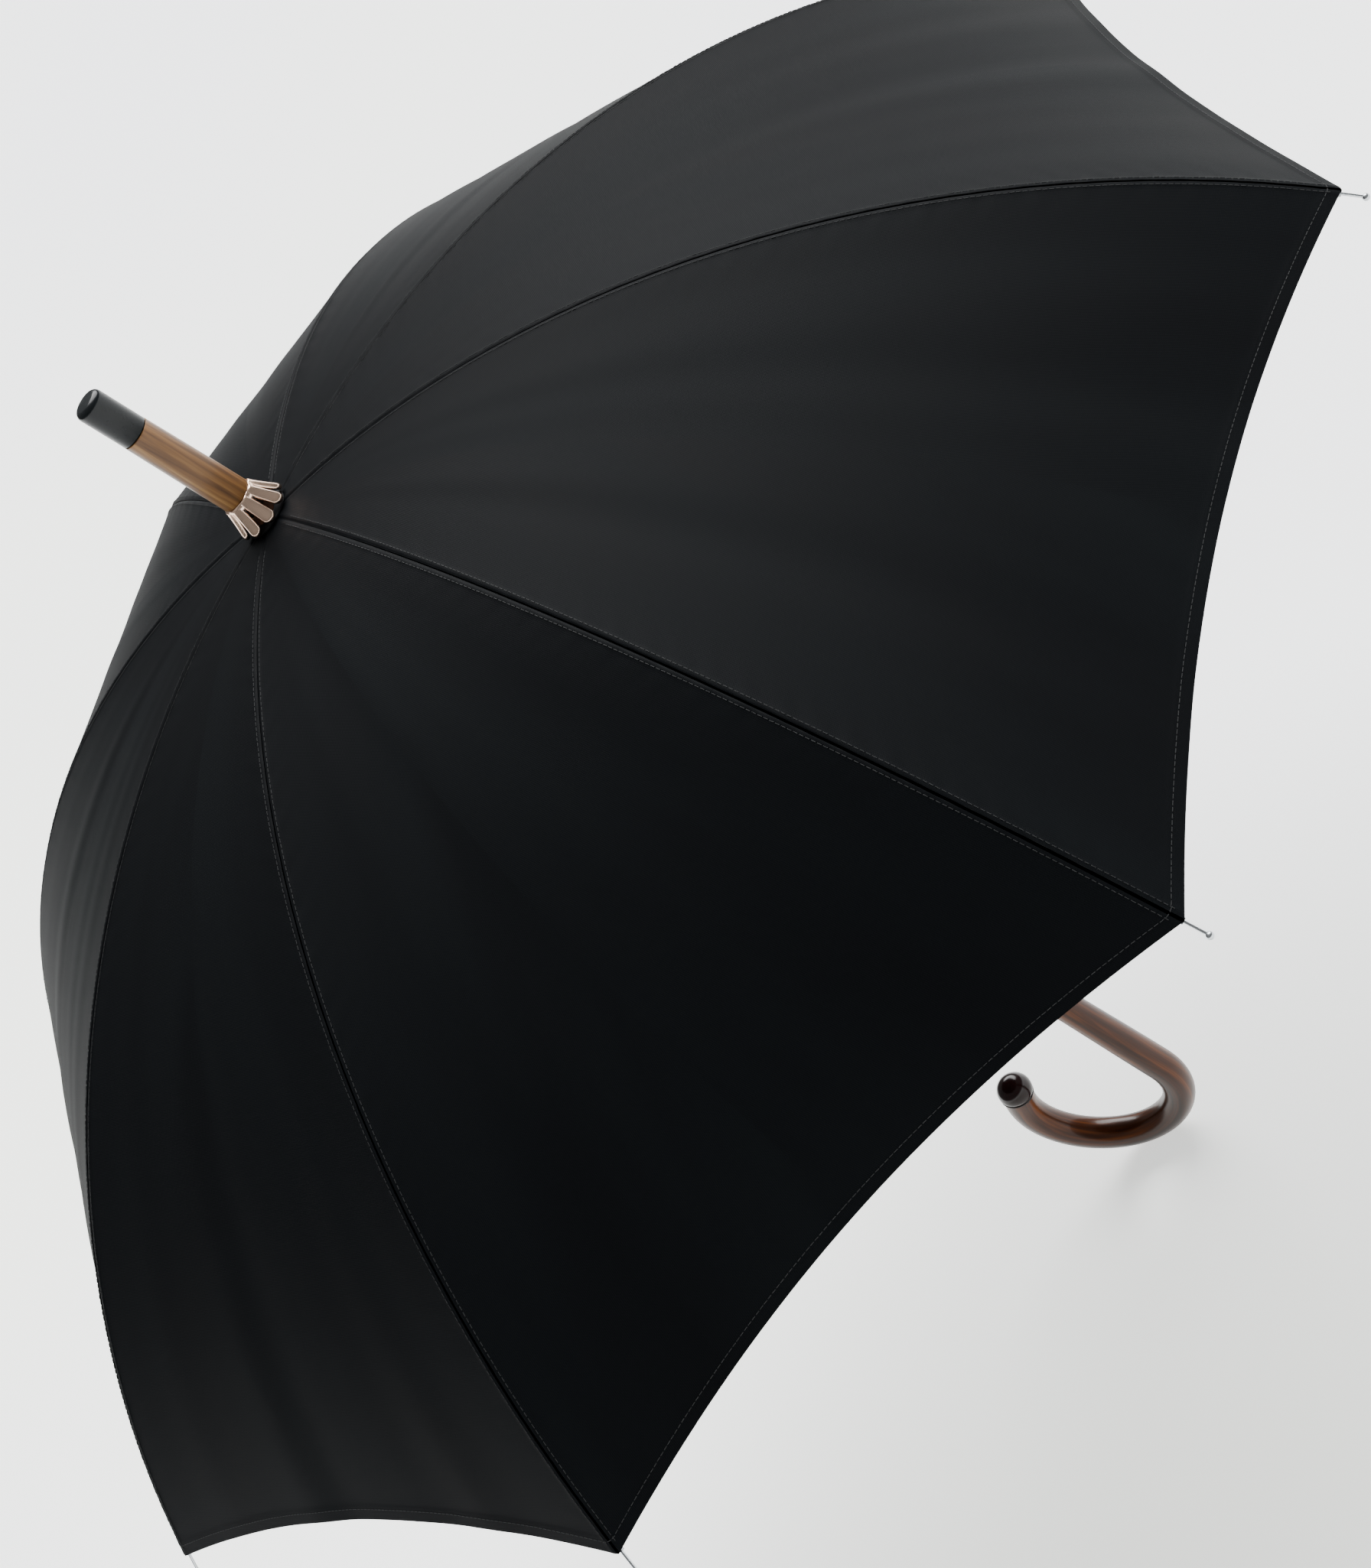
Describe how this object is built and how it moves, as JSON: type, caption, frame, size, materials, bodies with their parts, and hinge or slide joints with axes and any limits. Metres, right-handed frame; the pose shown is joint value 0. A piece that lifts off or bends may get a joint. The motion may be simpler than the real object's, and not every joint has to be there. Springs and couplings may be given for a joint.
{
  "type": "stick umbrella",
  "caption": "Open stick umbrella with a domed ribbed cloth canopy, wooden ferrule with a black cap, fluted metal rosette and a wooden crook handle with a rounded nose.",
  "frame": {"origin": "on the shaft's axis, at the middle of the handle's straight grip", "axes": "+Z along the shaft towards the ferrule; -X is the way the crook bends"},
  "size_m": [1.0532, 1.0532, 0.8959],
  "materials": {
    "cloth": "black plain-woven taffeta with a slight sheen",
    "handle_wood": "chestnut-brown wood, high-gloss lacquer",
    "shaft_wood": "brown stained wood, satin lacquer",
    "ferrule_wood": "light brown turned wood, gloss lacquer",
    "nose": "dark maroon-black, glossy",
    "tip_cap": "black, glossy, rounded end",
    "collar": "rose-gold plated, polished",
    "rosette": "rose-gold plated, polished, fluted",
    "washer": "black felt",
    "black_steel": "black enamel",
    "frame_steel": "zinc-plated steel, satin",
    "steel_wire": "bright steel wire"
  },
  "bodies": {
    "root": {"shaft": "shaft_wood", "crook_handle": "handle_wood", "nose_cap": "nose", "handle_collar": "collar", "ferrule_wood": "ferrule_wood", "ferrule_cap": "tip_cap", "rosette": "rosette", "canopy_washer": "washer", "top_notch": "black_steel", "notch_wire": "steel_wire", "stop_pin": "steel_wire", "catch_pins": "steel_wire"},
    "runner": {"runner_tube": "black_steel", "runner_notch": "black_steel", "runner_wire": "steel_wire", "runner_ring": "black_steel"},
    "top_catch": {"top_catch": "steel_wire"},
    "bottom_catch": {"bottom_catch": "steel_wire"},
    "rib_1": {"rib_1": "frame_steel", "rib_tip_1": "steel_wire", "rib_joint_1": "frame_steel", "canopy_1": "cloth"},
    "stretcher_1": {"stretcher_1": "frame_steel"},
    "rib_2": {"rib_2": "frame_steel", "rib_tip_2": "steel_wire", "rib_joint_2": "frame_steel", "canopy_2": "cloth"},
    "stretcher_2": {"stretcher_2": "frame_steel"},
    "rib_3": {"rib_3": "frame_steel", "rib_tip_3": "steel_wire", "rib_joint_3": "frame_steel", "canopy_3": "cloth"},
    "stretcher_3": {"stretcher_3": "frame_steel"},
    "rib_4": {"rib_4": "frame_steel", "rib_tip_4": "steel_wire", "rib_joint_4": "frame_steel", "canopy_4": "cloth"},
    "stretcher_4": {"stretcher_4": "frame_steel"},
    "rib_5": {"rib_5": "frame_steel", "rib_tip_5": "steel_wire", "rib_joint_5": "frame_steel", "canopy_5": "cloth"},
    "stretcher_5": {"stretcher_5": "frame_steel"},
    "rib_6": {"rib_6": "frame_steel", "rib_tip_6": "steel_wire", "rib_joint_6": "frame_steel", "canopy_6": "cloth"},
    "stretcher_6": {"stretcher_6": "frame_steel"},
    "rib_7": {"rib_7": "frame_steel", "rib_tip_7": "steel_wire", "rib_joint_7": "frame_steel", "canopy_7": "cloth"},
    "stretcher_7": {"stretcher_7": "frame_steel"},
    "rib_8": {"rib_8": "frame_steel", "rib_tip_8": "steel_wire", "rib_joint_8": "frame_steel", "canopy_8": "cloth"},
    "stretcher_8": {"stretcher_8": "frame_steel"}
  },
  "joints": [
    {"name": "runner_slide", "type": "slide", "parent": "root", "child": "runner", "axis": [0, 0, 1], "range_m": [-0.31442, 0], "deforming": ["top_catch", "bottom_catch"]},
    {"name": "rib_hinge_1", "type": "hinge", "parent": "root", "child": "rib_1", "pos_m": [0.01189, 0.00163, 0.65745], "axis": [-0.1357, 0.9907, 0], "range_deg": [-0.05, 61.05], "deforming": ["canopy_1"]},
    {"name": "stretcher_hinge_1", "type": "hinge", "parent": "rib_1", "child": "stretcher_1", "pos_m": [0.25136, 0.03443, 0.61091], "axis": [-0.1357, 0.9907, 0], "range_deg": [-105.07, 0.05]},
    {"name": "rib_hinge_2", "type": "hinge", "parent": "root", "child": "rib_2", "pos_m": [0.00726, 0.00956, 0.65745], "axis": [-0.7965, 0.6046, 0], "range_deg": [-0.05, 61.05], "deforming": ["canopy_2"]},
    {"name": "stretcher_hinge_2", "type": "hinge", "parent": "rib_2", "child": "stretcher_2", "pos_m": [0.15339, 0.20209, 0.61091], "axis": [-0.7965, 0.6046, 0], "range_deg": [-105.07, 0.05]},
    {"name": "rib_hinge_3", "type": "hinge", "parent": "root", "child": "rib_3", "pos_m": [-0.00163, 0.01189, 0.65745], "axis": [-0.9907, -0.1357, 0], "range_deg": [-0.05, 61.05], "deforming": ["canopy_3"]},
    {"name": "stretcher_hinge_3", "type": "hinge", "parent": "rib_3", "child": "stretcher_3", "pos_m": [-0.03443, 0.25136, 0.61091], "axis": [-0.9907, -0.1357, 0], "range_deg": [-105.07, 0.05]},
    {"name": "rib_hinge_4", "type": "hinge", "parent": "root", "child": "rib_4", "pos_m": [-0.00956, 0.00726, 0.65745], "axis": [-0.6046, -0.7965, 0], "range_deg": [-0.05, 61.05], "deforming": ["canopy_4"]},
    {"name": "stretcher_hinge_4", "type": "hinge", "parent": "rib_4", "child": "stretcher_4", "pos_m": [-0.20209, 0.15339, 0.61091], "axis": [-0.6046, -0.7965, 0], "range_deg": [-105.07, 0.05]},
    {"name": "rib_hinge_5", "type": "hinge", "parent": "root", "child": "rib_5", "pos_m": [-0.01189, -0.00163, 0.65745], "axis": [0.1357, -0.9907, 0], "range_deg": [-0.05, 61.05], "deforming": ["canopy_5"]},
    {"name": "stretcher_hinge_5", "type": "hinge", "parent": "rib_5", "child": "stretcher_5", "pos_m": [-0.25136, -0.03443, 0.61091], "axis": [0.1357, -0.9907, 0], "range_deg": [-105.07, 0.05]},
    {"name": "rib_hinge_6", "type": "hinge", "parent": "root", "child": "rib_6", "pos_m": [-0.00726, -0.00956, 0.65745], "axis": [0.7965, -0.6046, 0], "range_deg": [-0.05, 61.05], "deforming": ["canopy_6"]},
    {"name": "stretcher_hinge_6", "type": "hinge", "parent": "rib_6", "child": "stretcher_6", "pos_m": [-0.15339, -0.20209, 0.61091], "axis": [0.7965, -0.6046, 0], "range_deg": [-105.07, 0.05]},
    {"name": "rib_hinge_7", "type": "hinge", "parent": "root", "child": "rib_7", "pos_m": [0.00163, -0.01189, 0.65745], "axis": [0.9907, 0.1357, 0], "range_deg": [-0.05, 61.05], "deforming": ["canopy_7"]},
    {"name": "stretcher_hinge_7", "type": "hinge", "parent": "rib_7", "child": "stretcher_7", "pos_m": [0.03443, -0.25136, 0.61091], "axis": [0.9907, 0.1357, 0], "range_deg": [-105.07, 0.05]},
    {"name": "rib_hinge_8", "type": "hinge", "parent": "root", "child": "rib_8", "pos_m": [0.00956, -0.00726, 0.65745], "axis": [0.6046, 0.7965, 0], "range_deg": [-0.05, 61.05], "deforming": ["canopy_8"]},
    {"name": "stretcher_hinge_8", "type": "hinge", "parent": "rib_8", "child": "stretcher_8", "pos_m": [0.20209, -0.15339, 0.61091], "axis": [0.6046, 0.7965, 0], "range_deg": [-105.07, 0.05]},
    {"name": "top_catch_press", "type": "hinge", "parent": "root", "child": "top_catch", "pos_m": [0.0053, 0, 0.4017], "axis": [0, -1, 0], "range_deg": [0, 4.9], "stiffness_Nm_per_rad": 0.6, "springref_deg": -1.72},
    {"name": "bottom_catch_press", "type": "hinge", "parent": "root", "child": "bottom_catch", "pos_m": [0.0053, 0, 0.18988], "axis": [0, 1, 0], "range_deg": [0, 4.9], "stiffness_Nm_per_rad": 0.6, "springref_deg": -1.72}
  ],
  "couplings": [
    {"joint": "rib_hinge_1", "follows": "runner_slide", "rad_per_m": -3.3861},
    {"joint": "stretcher_hinge_1", "follows": "runner_slide", "rad_per_m": 5.8295},
    {"joint": "rib_hinge_2", "follows": "runner_slide", "rad_per_m": -3.3861},
    {"joint": "stretcher_hinge_2", "follows": "runner_slide", "rad_per_m": 5.8295},
    {"joint": "rib_hinge_3", "follows": "runner_slide", "rad_per_m": -3.3861},
    {"joint": "stretcher_hinge_3", "follows": "runner_slide", "rad_per_m": 5.8295},
    {"joint": "rib_hinge_4", "follows": "runner_slide", "rad_per_m": -3.3861},
    {"joint": "stretcher_hinge_4", "follows": "runner_slide", "rad_per_m": 5.8295},
    {"joint": "rib_hinge_5", "follows": "runner_slide", "rad_per_m": -3.3861},
    {"joint": "stretcher_hinge_5", "follows": "runner_slide", "rad_per_m": 5.8295},
    {"joint": "rib_hinge_6", "follows": "runner_slide", "rad_per_m": -3.3861},
    {"joint": "stretcher_hinge_6", "follows": "runner_slide", "rad_per_m": 5.8295},
    {"joint": "rib_hinge_7", "follows": "runner_slide", "rad_per_m": -3.3861},
    {"joint": "stretcher_hinge_7", "follows": "runner_slide", "rad_per_m": 5.8295},
    {"joint": "rib_hinge_8", "follows": "runner_slide", "rad_per_m": -3.3861},
    {"joint": "stretcher_hinge_8", "follows": "runner_slide", "rad_per_m": 5.8295}
  ]
}
